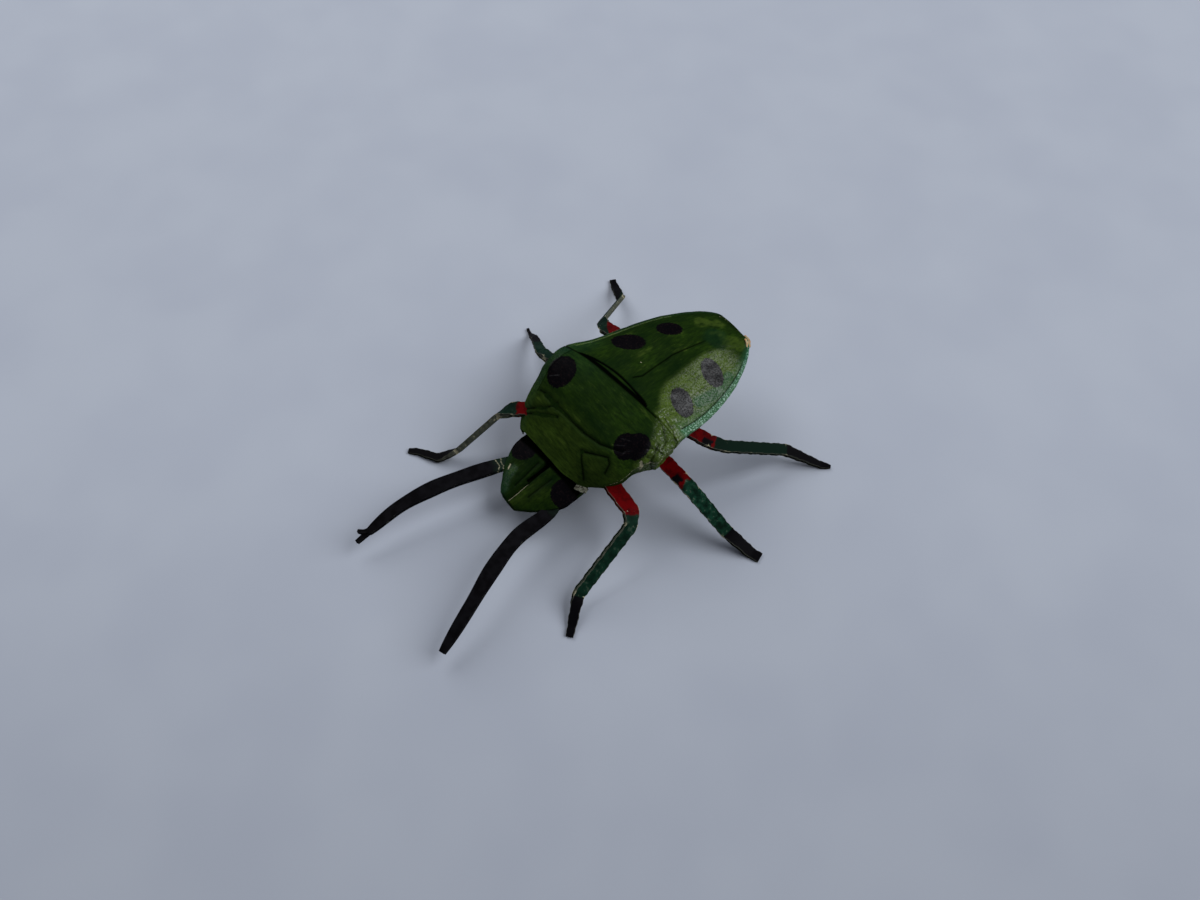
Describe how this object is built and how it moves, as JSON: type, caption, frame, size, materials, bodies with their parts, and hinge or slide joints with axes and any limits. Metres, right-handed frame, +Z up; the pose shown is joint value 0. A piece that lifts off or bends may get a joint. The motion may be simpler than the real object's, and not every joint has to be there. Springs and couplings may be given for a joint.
{
  "type": "paper shield bug",
  "caption": "Shield bug folded from one sheet of painted paper, with six jointed-looking legs and a pair of antennae, standing on its feet.",
  "frame": {"origin": "on the surface it stands on, under the middle of the space that the feet, the antennae and the rear edge take up", "axes": "+Z up, +Y from the head to the rear, +X to the bug's left"},
  "size_m": [0.0708, 0.0821, 0.0185],
  "materials": {
    "painted_paper": "hand-painted folded paper: mottled olive green back, black spots, feet and antennae, crimson hips and dark green shins"
  },
  "bodies": {
    "root": {"paper_bug": "painted_paper"}
  },
  "joints": []
}
